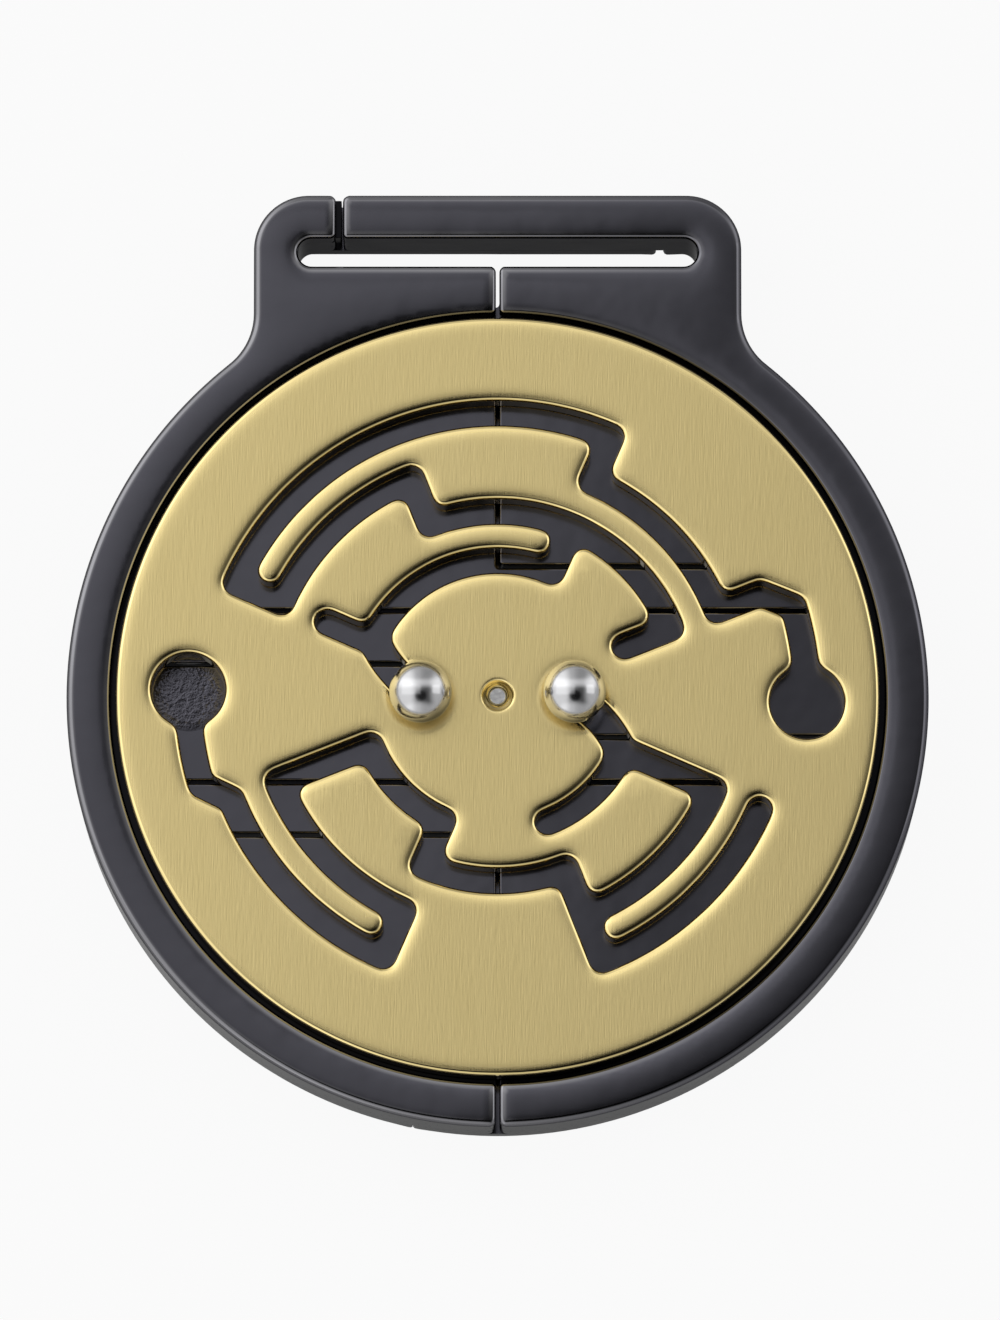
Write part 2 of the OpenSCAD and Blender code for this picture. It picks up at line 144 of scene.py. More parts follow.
def parting(side, top_x, foot_x, split_x):
    """Plan area of one half (side -1 left, 1 right): everything on its side of the zigzag
    parting line, which runs from the strap bar down through the comb to the ring's foot. The
    upright split is at split_x above and below the comb. Where that isn't 0, laps lead to it."""
    g, e, t, slit = side * GAP / 2, side * LAP_GAP / 2, side * TIP_GAP / 2, side * FOOT_SLIT / 2
    far, foot, lap = REACH + TIP_GAP / 2, FOOT_LAP_W - RING_R, RING_R - BACK_LAP_IN
    line = [(top_x + e, BEYOND), (top_x + e, SLOT_Y), (g, SLOT_Y)]
    if split_x:
        line += [(g, lap - g), (split_x + g, lap - g)]
    line += [
        (split_x + g, COMB_OUT + g), (far + t, COMB_OUT + g), (far + t, SLIDE_HI - g),
        (-far + t, SLIDE_HI - g), (-far + t, COMB_IN + g), (g, COMB_IN + g),
        (g, -COMB_IN + g), (far + t, -COMB_IN + g), (far + t, SLIDE_LO - g),
        (-far + t, SLIDE_LO - g), (-far + t, -COMB_OUT + g), (split_x + g, -COMB_OUT + g),
    ]
    if split_x:
        line += [(split_x + g, foot - g), (foot_x + slit, foot - g), (foot_x + slit, -BEYOND)]
    else:
        line += [(g, -BEYOND)]
    line += [(side * BEYOND, -BEYOND), (side * BEYOND, BEYOND)]
    return polygon_depth(rounded_corners(line, PLAN_ROUND))


def slope(field, p, h):
    """A plan field's value at points p and its unit gradient there, by differences over +-h."""
    x, y = p[:, 0], p[:, 1]
    gx, gy = field(x + h, y) - field(x - h, y), field(x, y + h) - field(x, y - h)
    n = np.maximum(np.hypot(gx, gy), 1e-9)
    return field(x, y), np.stack([gx / n, gy / n], 1)


def plan_loops(field, level, low, high, step, spacing, per_radian, h=0.004):
    """Closed outlines of a plan area, metal on the left, with their inward directions and level.
    They are the lines where field is level, so that the edge, which lies level further out along the
    directions, turns every corner of the metal with at least that radius. In each cell of a grid, a
    walk round the four corners leaves the metal on some sides: a line starts on each of these, and
    ends on the side where the walk last came in. The lines are joined to loops, drawn onto the level
    by Newton steps, and spaced so that every point stands for one spacing of length or
    1 / per_radian of turn."""
    xs, ys = np.arange(low[0], high[0] + step, step), np.arange(low[1], high[1] + step, step)
    gx, gy = np.meshgrid(xs, ys, indexing="ij")
    f = field(gx, gy) - level
    f = np.where(np.abs(f) < 1e-7, 1e-7, f)
    nx, ny = f.shape
    s = f > 0
    corners = [s[:-1, :-1], s[1:, :-1], s[1:, 1:], s[:-1, 1:]]
    i, j = np.meshgrid(np.arange(nx - 1), np.arange(ny - 1), indexing="ij")
    ids = [i * ny + j, nx * ny + (i + 1) * ny + j, i * ny + j + 1, nx * ny + i * ny + j]
    starts, ends = [], []
    for side in range(4):
        leaves = corners[side] & ~corners[(side + 1) % 4]
        for back in (side - 1, side - 2, side - 3):
            found = leaves & ~corners[back % 4]
            starts.append(ids[side][found])
            ends.append(ids[back % 4][found])
            leaves = leaves & ~found
    start, end = np.concatenate(starts), np.concatenate(ends)
    names, place = np.unique(start, return_inverse=True)
    following = np.empty(len(names), int)
    following[place] = np.searchsorted(names, end)
    upright = names >= nx * ny
    k = names % (nx * ny)
    ci, cj = k // ny, k % ny
    di, dj = np.where(upright, 0, 1), np.where(upright, 1, 0)
    f0, f1 = f[ci, cj], f[ci + di, cj + dj]
    t = f0 / (f0 - f1)
    p = np.stack([xs[ci] + t * di * step, ys[cj] + t * dj * step], 1)
    # every crossing takes the least number of its loop, by steps that double each time
    label, jump = np.arange(len(names)), following.copy()
    for _ in range(int(np.log2(len(names))) + 2):
        label = np.minimum(label, label[jump])
        jump = jump[jump]
    loops = []
    for first in np.unique(label):
        n = int((label == first).sum())
        order, jump = np.array([first]), following.copy()
        while len(order) < n:
            order = np.concatenate([order, jump[order]])
            jump = jump[jump]
        q = p[order[:n]]
        for _ in range(3):
            v, g = slope(field, q, h)
            q = q - g * (v - level)[:, None]
        _, g = slope(field, q, h)
        angle = np.arctan2(g[:, 1], g[:, 0])
        turn = (np.roll(angle, -1) - angle + np.pi) % (2 * np.pi) - np.pi
        angle = angle[0] + np.concatenate([[0], np.cumsum(turn)])
        length = np.linalg.norm(np.roll(q, -1, 0) - q, axis=1)
        u = np.concatenate([[0], np.cumsum(length / spacing + np.abs(turn) * per_radian)])
        closed = np.vstack([q, q[:1]])
        m = max(8, int(round(u[-1])))
        at = np.arange(m) * u[-1] / m
        q = np.stack([np.interp(at, u, closed[:, 0]), np.interp(at, u, closed[:, 1])], 1)
        angle = np.interp(at, u, angle)
        loops.append((q, np.stack([np.cos(angle), np.sin(angle)], 1), level))
    return loops


def fill_plan(points, edges, metal):
    """Triangles over plan points that keep the given directed edges, metal on their left. A triangle
    on an edge is kept or dropped by its side, and any other by the field metal at its middle."""
    found = delaunay_2d_cdt([Vector(q) for q in points], edges.tolist(), [], 0, 1e-7)
    new = np.array([list(v) for v in found[0]])
    source = np.array([o[0] if o else -1 for o in found[3]])
    for k in np.flatnonzero(source < 0):
        source[k] = int(np.argmin(((points - new[k]) ** 2).sum(1)))
    tri = source[np.array([f for f in found[2] if len(f) == 3])]
    tri = tri[(tri[:, 0] != tri[:, 1]) & (tri[:, 1] != tri[:, 2]) & (tri[:, 2] != tri[:, 0])]
    a, b, c = (points[tri[:, k]] for k in range(3))
    area = (b[:, 0] - a[:, 0]) * (c[:, 1] - a[:, 1]) - (b[:, 1] - a[:, 1]) * (c[:, 0] - a[:, 0])
    tri[area < 0] = tri[area < 0][:, ::-1]
    middle = (a + b + c) / 3
    keep = metal(middle[:, 0], middle[:, 1]) > 0
    n = len(points)
    forward, backward = edges[:, 0] * n + edges[:, 1], edges[:, 1] * n + edges[:, 0]
    for s in range(3):
        key = tri[:, s] * n + tri[:, (s + 1) % 3]
        keep |= np.isin(key, forward)
    for s in range(3):
        key = tri[:, s] * n + tri[:, (s + 1) % 3]
        keep &= ~np.isin(key, backward)
    return tri[keep]


def layer(field, loops, z_low, z_high, round_low, round_high, crown=None, inside=None, steps=4):
    """One closed layer of metal over plan loops. Each loop's profile runs from the lower face, out
    round an arc of radius round_low, up the wall and in round an arc of radius round_high; at an
    angle a from the wall it lies r (1 - cos a) inside the loop and r (1 - sin a) from its face. crown
    lowers the upper face by a function of x and y. Gives points, normals, depths and faces."""
    up = np.linspace(0, np.pi / 2, steps + 1)
    places, normals, depths, faces, low_edges, high_edges = [], [], [], [], [], []
    base = 0

    def tipped(x, y):
        """Normals of the crowned face, by differences of the crown over +-0.08 mm."""
        h = 0.08
        fall_x, fall_y = crown(x - h, y) - crown(x + h, y), crown(x, y - h) - crown(x, y + h)
        n = np.stack([fall_x, fall_y, np.full(x.shape, 2 * h)], -1)
        return n / np.linalg.norm(n, axis=-1, keepdims=True)

    for loop, g, level in loops:
        n = len(loop)
        lo, hi = round_low(loop[:, 0], loop[:, 1]), round_high(loop[:, 0], loop[:, 1])
        a = np.concatenate([up[::-1], up])[:, None]
        r = np.concatenate([np.repeat(lo[None], steps + 1, 0), np.repeat(hi[None], steps + 1, 0)])
        inset = r * (1 - np.cos(a))
        x = loop[:, 0] + g[:, 0] * (inset - level)
        y = loop[:, 1] + g[:, 1] * (inset - level)
        rise = r * (1 - np.sin(a))
        z = np.where(np.arange(2 * steps + 2)[:, None] <= steps, z_low + rise, z_high - rise)
        sign = np.where(np.arange(2 * steps + 2)[:, None] <= steps, -1.0, 1.0)
        flat = np.zeros((2 * steps + 2, n, 3))
        flat[..., 2] = sign
        if crown:
            z[steps + 1 :] += crown(x[steps + 1 :], y[steps + 1 :])
            flat[steps + 1 :] = tipped(x[steps + 1 :], y[steps + 1 :])
        out = np.stack([-g[:, 0] + 0 * z, -g[:, 1] + 0 * z, 0 * z], -1)
        normal = out * np.cos(a)[..., None] + flat * np.sin(a)[..., None]
        places.append(np.stack([x, y, z], -1).reshape(-1, 3))
        normals.append(normal.reshape(-1, 3))
        depths.append(inset.reshape(-1))
        k = np.arange(n)
        nxt = (k + 1) % n
        rows = np.arange(2 * steps + 1)[:, None] * n + base
        faces.append(np.stack([rows + k, rows + nxt, rows + n + nxt, rows + n + k], -1).reshape(-1, 4))
        low_edges.append(np.stack([base + k, base + nxt], 1))
        top = base + (2 * steps + 1) * n
        high_edges.append(np.stack([top + k, top + nxt], 1))
        base += (2 * steps + 2) * n
    if inside is not None and len(inside):
        places.append(np.column_stack([inside, z_high + crown(inside[:, 0], inside[:, 1])]))
        normals.append(tipped(inside[:, 0], inside[:, 1]))
        depths.append(field(inside[:, 0], inside[:, 1]))
    places, normals, depths = np.concatenate(places), np.concatenate(normals), np.concatenate(depths)
    for edges, low in ((np.concatenate(low_edges), True), (np.concatenate(high_edges), False)):
        used = np.unique(edges)
        if not low:
            used = np.concatenate([used, np.arange(base, len(places))])
        inset = round_low if low else round_high
        rims = np.searchsorted(used, edges)
        tri = used[fill_plan(places[used, :2], rims, lambda x, y: field(x, y) - inset(x, y))]
        faces.append(tri[:, ::-1] if low else tri)
    return places, normals, depths, faces


def metal_piece(name, layers, body, nodes, material):
    """Object made of one or more closed layers, given in millimetres from the disc's axis, with its
    normals from the layers' formulas and its distance from the nearest edge as attribute edge_depth."""
    places, normals, depths, faces, base = [], [], [], [], 0
    for p, n, d, f in layers:
        places.append(p)
        normals.append(n)
        depths.append(d)
        faces += [k + base for k in f]
        base += len(p)
    places = (np.concatenate(places) + [0, AXIS_Y, 0]) / 1000
    normals = np.concatenate(normals)
    normals = normals / np.linalg.norm(normals, axis=1, keepdims=True)
    mesh = bpy.data.meshes.new(name)
    mesh.from_pydata(places.tolist(), [], [face for part in faces for face in part.tolist()])
    mesh.update()
    mesh.polygons.foreach_set("use_smooth", np.ones(len(mesh.polygons), bool))
    mesh.normals_split_custom_set_from_vertices(normals.tolist())
    depth = mesh.attributes.new("edge_depth", "FLOAT", "POINT")
    depth.data.foreach_set("value", np.concatenate(depths).astype(np.float32) / 1000)
    mesh.materials.append(material)
    piece = bpy.data.objects.new(name, mesh)
    bpy.context.scene.collection.objects.link(piece)
    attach(piece, body)
    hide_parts(*nodes)
    return piece


def feed(tree, node, inputs):
    """Gives each named input of a node its value, or joins it to the socket given for it."""
    for label, value in inputs.items():
        if isinstance(value, bpy.types.NodeSocket):
            tree.links.new(value, node.inputs[label])
        else:
            node.inputs[label].default_value = value
    return node


def add_node(tree, kind, inputs, **settings):
    """New shader node of a kind, with its settings made before its inputs are fed."""
    node = tree.nodes.new("ShaderNode" + kind)
    for label, value in settings.items():
        setattr(node, label, value)
    return feed(tree, node, inputs)


def calc(tree, kind, *values):
    """Result of a math node on numbers or sockets."""
    return add_node(tree, "Math", dict(enumerate(values)), operation=kind).outputs[0]


def noise(tree, vector, scale, detail=2.0, fineness=0.5):
    """Value of a noise texture; fineness is the weight of each finer octave on the last."""
    inputs = {"Vector": vector, "Scale": scale, "Detail": detail, "Roughness": fineness}
    return add_node(tree, "TexNoise", inputs).outputs["Fac"]


def fade(tree, value, start, end, first=0.0, last=1.0, kind="SMOOTHSTEP"):
    """Step of a value: first up to start, last from end on, and softly or evenly between them."""
    inputs = {"Value": value, "From Min": start, "From Max": end, "To Min": first, "To Max": last}
    return add_node(tree, "MapRange", inputs, interpolation_type=kind).outputs["Result"]


def mix(tree, share, a, b):
    """Colour a where the share is 0, b where it is 1."""
    return add_node(tree, "Mix", {"Factor": share, "A": a, "B": b}, data_type="RGBA").outputs["Result"]


def bump(tree, height, strength, distance):
    """Normal that is tipped by a height, which stands for the given distance in metres."""
    inputs = {"Height": height, "Strength": strength, "Distance": distance}
    return add_node(tree, "Bump", inputs).outputs["Normal"]


def new_material(name, values):
    """Node material with values on its Principled shader, and the sockets of Object coordinates."""
    material = bpy.data.materials.new(name)
    material.use_nodes = True
    tree = material.node_tree
    shader = feed(tree, tree.nodes["Principled BSDF"], values)
    return material, tree, shader, tree.nodes.new("ShaderNodeTexCoord").outputs["Object"]


# The unevenness that every polished or turned surface keeps: one noise is its relief, and its
# roughness is the gloss plus that relief times the spread.
finish_group = bpy.data.node_groups.new("uneven_finish", "ShaderNodeTree")
finish_group.interface.new_socket("Vector", in_out="INPUT", socket_type="NodeSocketVector")
for label in ("Scale", "Detail", "Fineness", "Spread", "Gloss"):
    finish_group.interface.new_socket(label, in_out="INPUT", socket_type="NodeSocketFloat")
for label in ("Roughness", "Height"):
    finish_group.interface.new_socket(label, in_out="OUTPUT", socket_type="NodeSocketFloat")
given = finish_group.nodes.new("NodeGroupInput").outputs
relief = noise(finish_group, given["Vector"], given["Scale"], given["Detail"], given["Fineness"])
gloss = calc(finish_group, "MULTIPLY_ADD", relief, given["Spread"], given["Gloss"])
feed(finish_group, finish_group.nodes.new("NodeGroupOutput"), {"Roughness": gloss, "Height": relief})


def uneven_finish(tree, vector, **values):
    """Outputs Roughness and Height of the uneven finish, placed in a material with its own values."""
    inputs = {"Vector": vector, **{label.capitalize(): value for label, value in values.items()}}
    return add_node(tree, "Group", inputs, node_tree=finish_group).outputs


PLATE_DARK, PLATE_LIGHT = (0.082, 0.081, 0.096, 1), (0.108, 0.107, 0.125, 1)
EDGE_HIGHLIGHT_TINT, CORNER_SHADE_TINT = (0.22, 0.218, 0.232, 1), (0.012, 0.012, 0.014, 1)
# the plate mirrors little where it is seen edge-on
EDGE_ON_TINT = (0.28, 0.28, 0.28, 1)
# in metres: heights above which the painted edge highlight and the painted corner shade lie, the shaded
# corner's radius, the grainy place
HIGHLIGHT_ABOVE, SHADE_ABOVE, SHADE_CORNER_R, GRAINY_AT = 0.0072, 0.003, 0.0271, (-0.0218, -0.0023, 0.0056)
black_nickel, tree, shader, coords = new_material(
    "black_nickel", {"Metallic": 1.0, "Specular Tint": EDGE_ON_TINT})
plate = mix(tree, noise(tree, coords, 45, 3.0), PLATE_DARK, PLATE_LIGHT)
gloss = uneven_finish(tree, coords, scale=90, detail=3.0, fineness=0.55, spread=0.1, gloss=0.07)
place = add_node(tree, "SeparateXYZ", {"Vector": coords}).outputs
to_edge = add_node(tree, "Attribute", {}, attribute_name="edge_depth").outputs["Fac"]
# painted highlight: the plate is painted brighter on the upper edges, most on the left half, on which the
# light falls
lit_side = fade(tree, place["X"], 0.02, 0.0, 0.2, 1.0, "LINEAR")
painted_highlight = calc(tree, "MULTIPLY", fade(tree, to_edge, 0.0006, 0.0003), lit_side)
painted_highlight = calc(tree, "MULTIPLY", painted_highlight, calc(tree, "GREATER_THAN", place["Z"], HIGHLIGHT_ABOVE))
# painted shade: the plate is painted near black in the narrow corner round the disc, where the disc's shade
# falls, and on the block in the strap bar's gap, whose depth is below 0
from_axis_y = calc(tree, "ADD", place["Y"], -AXIS_Y / 1000)
from_axis = calc(tree, "ADD", calc(tree, "POWER", place["X"], 2), calc(tree, "POWER", from_axis_y, 2))
off_corner = calc(tree, "SUBTRACT", calc(tree, "SQRT", from_axis), SHADE_CORNER_R)
painted_shade = fade(tree, calc(tree, "ABSOLUTE", off_corner), 0.0003, 0.00025, kind="LINEAR")
painted_shade = calc(tree, "MULTIPLY", painted_shade, calc(tree, "GREATER_THAN", place["Z"], SHADE_ABOVE))
painted_shade = calc(tree, "MAXIMUM", painted_shade, calc(tree, "LESS_THAN", to_edge, -0.0001))
# the floor under the left keyhole keeps the grainy skin of the casting
from_keyhole = add_node(tree, "VectorMath", {0: coords, 1: GRAINY_AT}, operation="DISTANCE").outputs["Value"]
grainy = fade(tree, from_keyhole, 0.0026, 0.0020, kind="LINEAR")
grainy = calc(tree, "MULTIPLY", noise(tree, coords, 2600, 3.0, 0.6), grainy)
height = calc(tree, "ADD", calc(tree, "MULTIPLY", noise(tree, coords, 260), 0.2), grainy)
feed(tree, shader, {
    "Base Color": mix(tree, painted_shade, mix(tree, painted_highlight, plate, EDGE_HIGHLIGHT_TINT), CORNER_SHADE_TINT),
    "Roughness": gloss["Roughness"],
    "Normal": bump(tree, height, 0.6, 0.00016),
})


def even(r):
    """The same rounding radius everywhere."""
    return lambda x, y: r + 0 * x


def shaded_gap_block():
    """The left half's step at the foot of the gap in the strap bar: a small block, whose depth of -1 marks
    it for the painted shade, which paints it near black as the shade deep in the gap."""
    x0, x1, y0, y1, top = -12, -11.05, 33, HEAD_TOP - 0.15, 6.0
    block = polygon_depth([(x0, y0), (x1, y0), (x1, y1), (x0, y1)])
    outline = plan_loops(block, 0.05, (x0 - 0.5, y0 - 0.5), (-10.5, HEAD_TOP), 0.1, 0.5, 5)
    places, normals, depths, faces = layer(block, outline, LAP_Z, top, even(CRISP), even(0.04))
    return places, normals, depths * 0 - 1, faces


def half_layers(side):
    """The five layers of one half, from its back to its ring, and the left half's step in the bar gap,
    painted as shade.
    """
    front = parting(side, BAR_GAP_X, 0, 0)
    rear = parting(side, REAR_GAP_X, FOOT_SLIT_X, REAR_SPLIT_X)

    def body(line, end_round):
        """Plan of the half up to a parting line: outline, less the strap slot. The line's ends at
        the outline are rounded to the given radius."""

        def area(x, y):
            whole = round_meet(frame_outline(x, y), line(x, y), end_round)
            return round_meet(whole, strap_slot(x, y), PLAN_ROUND)

        return area

    def back_rounds(x, y):
        """Rounding of the back's edges: 0.08 at the parting line, and 0.3 from 1.2 mm off it."""
        return 0.08 + 0.22 * np.clip(np.abs(rear(x, y)) / 0.6 - 1, 0, 1)

    def tongued(x, y):
        """Front plan with this half's tongue added on one sliding line and its groove cut on the
        other: the tongue is a strip TONGUE_D deep beyond the line, the groove a little larger."""
        own, other = (SLIDE_HI, SLIDE_LO) if side > 0 else (SLIDE_LO, SLIDE_HI)
        out = np.sign(own)
        strip = np.minimum(TONGUE_D + GAP / 2 - (y - own) * out, (y - own) * out + 0.5)
        ends = (REACH - 1 if side > 0 else REACH) + x, (REACH if side > 0 else REACH - 1) - x
        strip = np.minimum(strip, np.minimum(*ends))
        out = np.sign(other)
        room = np.minimum(TONGUE_D + GAP / 2 + 0.1 - (y - other) * out, (y - other) * out + 0.5)
        room = np.minimum(room, REACH + 1 - np.abs(x))
        return np.minimum(np.maximum(plan(x, y), strip), -room)

    def raised(x, y):
        """Front plan outside the disc's pocket."""
        return round_meet(plan(x, y), np.hypot(x, y) - POCKET_R, PLAN_ROUND)

    def ring_rounds(x, y):
        """Rounding of the ring's front edges: outline, mouth of the pocket and slot, split ends. Each
        takes over from the others within half a millimetre or so of where they are equally far."""
        split = np.abs(front(x, y))
        mouth = np.minimum(np.abs(np.hypot(x, y) - POCKET_R), np.abs(strap_slot(x, y)))
        near = np.clip(0.5 + (mouth - split) / 0.5, 0, 1)
        others = MOUTH_ROUND * (1 - near) + SPLIT_ROUND * near
        outer = np.clip(0.5 + (np.minimum(split, mouth) - np.abs(frame_outline(x, y))) / 0.6, 0, 1)
        return others * (1 - outer) + OUTER_ROUND * outer

    def ring_crown(x, y):
        """Drop of the ring's polished face: for each edge at distance d, a close 0.06 exp(-d / 0.22),
        and a broad 0.11 exp(-d / 1.15), which is 0.14 exp(-d / 1.2) at the pocket and none at the split."""
        depths = frame_outline(x, y), np.hypot(x, y) - POCKET_R, strap_slot(x, y), np.abs(front(x, y))
        edges = np.maximum(np.stack(depths), 0)
        broad = 0.11 * np.exp(-edges[[0, 2]] / 1.15).sum(0) + 0.14 * np.exp(-edges[1] / 1.2)
        return -0.06 * np.exp(-edges / 0.22).sum(0) - broad

    def floor_rounds(x, y):
        """Rounding of the floor's edges at the gaps, fading out under the ring."""
        return CRISP + FLOOR_ROUND * np.clip((POCKET_R - np.hypot(x, y)) / 0.3, 0, 1)

    def lap_drop(x, y):
        """Drop of the left half's lap behind the strap bar, so that the bar runs clear of it."""
        return -0.05 * ((y > SLOT_Y) & (x > -11.4))

    low, high = (-31.5, -31.5), (31.5, 37)
    plan, back = body(front, FRONT_END_ROUND), body(rear, REAR_END_ROUND)
    plan_outline = plan_loops(plan, 0.16, low, high, 0.2, 1.0, 5)
    back_outline = plan_loops(back, 0.05, low, high, 0.12, 1.0, 5)
    tongue_outline = plan_loops(tongued, 0.05, low, high, 0.15, 1.0, 5)
    ring_outline = plan_loops(raised, 0.25, low, high, 0.15, 0.8, 6)
    gx, gy = np.meshgrid(np.arange(low[0], high[0], 0.4), np.arange(low[1], high[1], 0.4), indexing="ij")
    ring_points = np.stack([gx.ravel(), gy.ravel()], 1)
    ring_points = ring_points[raised(gx.ravel(), gy.ravel()) > 0.55]
    crisp = even(CRISP)
    tongue_low, tongue_high = TONGUE_Z - TONGUE_T / 2 - 0.1, TONGUE_Z + TONGUE_T / 2 + 0.1
    layers = [
        layer(back, back_outline, 0, LAP_Z, back_rounds, crisp, crown=lap_drop if side < 0 else even(0)),
        layer(plan, plan_outline, LAP_Z, tongue_low, crisp, crisp, steps=1),
        layer(tongued, tongue_outline, tongue_low, tongue_high, crisp, crisp, steps=1),
        layer(plan, plan_outline, tongue_high, FLOOR_Z, crisp, floor_rounds),
        layer(raised, ring_outline, FLOOR_Z, FRAME_T, crisp, ring_rounds, ring_crown, ring_points, 5),
    ]
    return [shaded_gap_block()] + layers if side < 0 else layers


metal_piece("left_half_casting", half_layers(-1), "left_frame", ["left_half"], black_nickel)
metal_piece("right_half_casting", half_layers(1), "right_frame", ["right_half"], black_nickel)

# Centre pin. A short turned steel pin, loose in the disc's bore, which stands in the
# round notch between the two halves. Only its flat end shows, in the countersink.


def revolve(profile, x, n=96):
    """Closed turned shape: each (r, z) of the profile swept round a vertical axis at x, with
    normals from the profile's own direction. Points doubled in the profile make sharp edges."""
    p = np.asarray(profile, float)
    d = np.gradient(p, axis=0)
    same = np.all(np.isclose(p[1:], p[:-1]), axis=1)
    first, second = np.flatnonzero(same), np.flatnonzero(same) + 1
    d[first] = p[first] - p[first - 1]
    d[second] = p[second + 1] - p[second]
    slant = np.stack([d[:, 1], -d[:, 0]], 1)
    slant = slant / np.maximum(np.linalg.norm(slant, axis=1, keepdims=True), 1e-9)
    a = np.linspace(0, 2 * np.pi, n, endpoint=False)
    r, z = p[:, 0][:, None], p[:, 1][:, None]
    places = np.stack([x + r * np.cos(a), r * np.sin(a), z + 0 * a], -1).reshape(-1, 3)
    normals = [slant[:, :1] * np.cos(a), slant[:, :1] * np.sin(a), slant[:, 1:] + 0 * a]
    normals = np.stack(normals, -1).reshape(-1, 3)
    k = np.arange(n)
    rows = np.arange(len(p) - 1)[:, None] * n
    rows = rows[~same]
    quads = np.stack([rows + k, rows + (k + 1) % n, rows + n + (k + 1) % n, rows + n + k], -1).reshape(-1, 4)
    ends = [k[::-1][None], (k + (len(p) - 1) * n)[None]]
    return places, normals, np.zeros(len(places)), [quads] + ends


STEEL_DARK, STEEL_LIGHT = (0.30, 0.30, 0.31, 1), (0.85, 0.85, 0.85, 1)
turned_steel, tree, shader, coords = new_material("turned_steel", {"Metallic": 1.0})
tool_marks = uneven_finish(tree, coords, scale=2600, detail=4.0, fineness=0.6, spread=0.25, gloss=0.2)
feed(tree, shader, {
    "Base Color": mix(tree, tool_marks["Height"], STEEL_DARK, STEEL_LIGHT),
    "Roughness": tool_marks["Roughness"],
    "Normal": bump(tree, tool_marks["Height"], 0.6, 0.00005),
})

# the end of a turned piece stops a hair short of its middle, where a flat face closes it
MIDDLE_R = 0.02
PIN_R, PIN_BEVEL, PIN_FOOT, PIN_SUNK = 0.65, 0.1, 3.7, 0.6
pin_top, pin_end_r = DISC_TOP - PIN_SUNK, PIN_R - PIN_BEVEL
pin_profile = [
    (MIDDLE_R, PIN_FOOT), (pin_end_r, PIN_FOOT), (pin_end_r, PIN_FOOT),
    (PIN_R, PIN_FOOT + PIN_BEVEL), (PIN_R, PIN_FOOT + PIN_BEVEL),
    (PIN_R, pin_top - PIN_BEVEL), (PIN_R, pin_top - PIN_BEVEL),
    (pin_end_r, pin_top), (pin_end_r, pin_top), (MIDDLE_R, pin_top),
]
metal_piece("centre_pin_turned", [revolve(pin_profile, 0)], "pivot", ["centre_pin"], turned_steel)

# Labyrinth disc. A gold-plated zinc casting whose face is brushed up and down and whose
# slots are polished round at their edges. It lies loose in the pocket and turns on the pin.
DISC_R, DISC_LOW, BORE_R, SINK_R = 26.9, 5.7, 0.7, 1.15
SLOT_W, TRACK_R, PITCH, GATE_0 = 1.72, 9.61, 3.5, 21.45
KEY_R, KEY_AT, KEY_TURN, EXIT_TURN, BEND_R = 2.6, 21.8, -1.15, 16.9, 19.9
POST_AT, LEAD_TURN, SEAT_R, SEAT_DEPTH, SEAT_REACH = 5.42, 23, 2.55, 0.42, 3.9
WALL_ROUND, HUB_ROUND, KEY_ROUND, EDGE_ROUND = 0.85, 1.1, 0.5, 0.28
HALF_W = SLOT_W / 2
# half width of the first leg, and how far its inner side is widened
LEAD_HALF_W, LEAD_EXTRA = 0.8, 0.35


def track(n):
    """Radius of round track n, counted from 1."""
    return TRACK_R + (n - 1) * PITCH


def gate(g):
    """Angle of radial gate g, in degrees."""
    return GATE_0 + 45 * g


def spot(r, a):
    """Plan place of a radius and an angle in degrees."""
    return np.array([r * np.cos(np.radians(a)), r * np.sin(np.radians(a))])


def arc_slot(r, a, b):
    """Distance outside a round slot from angle a to b: from its arc, or beyond it from the nearer
    end of the arc, less half the slot's width."""

    def gap(x, y):
        off = (np.degrees(np.arctan2(y, x)) - (a + b) / 2 + 180) % 360 - 180
        half = (b - a) / 2
        e = np.radians((a + b) / 2 + np.sign(off) * half)
        to_end = np.hypot(x - r * np.cos(e), y - r * np.sin(e))
        return np.where(np.abs(off) > half, to_end, np.abs(np.hypot(x, y) - r)) - HALF_W

    return gap


def line_slot(p, q, half=HALF_W):
    """Distance outside a straight slot with round ends from p to q."""
    e = q - p

    def gap(x, y):
        t = np.clip(((x - p[0]) * e[0] + (y - p[1]) * e[1]) / (e @ e), 0, 1)
        return np.hypot(x - p[0] - t * e[0], y - p[1] - t * e[1]) - half

    return gap


def run(n, a, b):
    """Round slot along track n, from gate a to gate b."""
    return [arc_slot(track(n), gate(a), gate(b))]


def cross(n, m, g):
    """Straight slot through gate g, from track n to track m."""
    return [line_slot(spot(track(n), gate(g)), spot(track(m), gate(g)))]


def corner(n, wall, g, side):
    """Distance outside the rounding of the wall's corner between track n and gate g: the patch between
    the gate's wall, the track's wall and the middle of the rounding circle, less that circle."""
    r = track(n) + wall * HALF_W
    far = r + wall * WALL_ROUND
    cy = HALF_W + WALL_ROUND
    cx = np.sqrt(far * far - cy * cy)
    c, s = np.cos(np.radians(gate(g))), np.sin(np.radians(gate(g)))

    def gap(x, y):
        u, v = x * c + y * s, side * (y * c - x * s)
        rho = np.hypot(x, y)
        patch = np.maximum(0.75 * HALF_W - v, (v * cx - u * cy) / far)
        patch = np.maximum(patch, wall * (u - cx))
        patch = np.maximum(patch, wall * (r - rho) - HALF_W / 4)
        return np.maximum(patch, WALL_ROUND - np.hypot(u - cx, v - cy))

    return gap


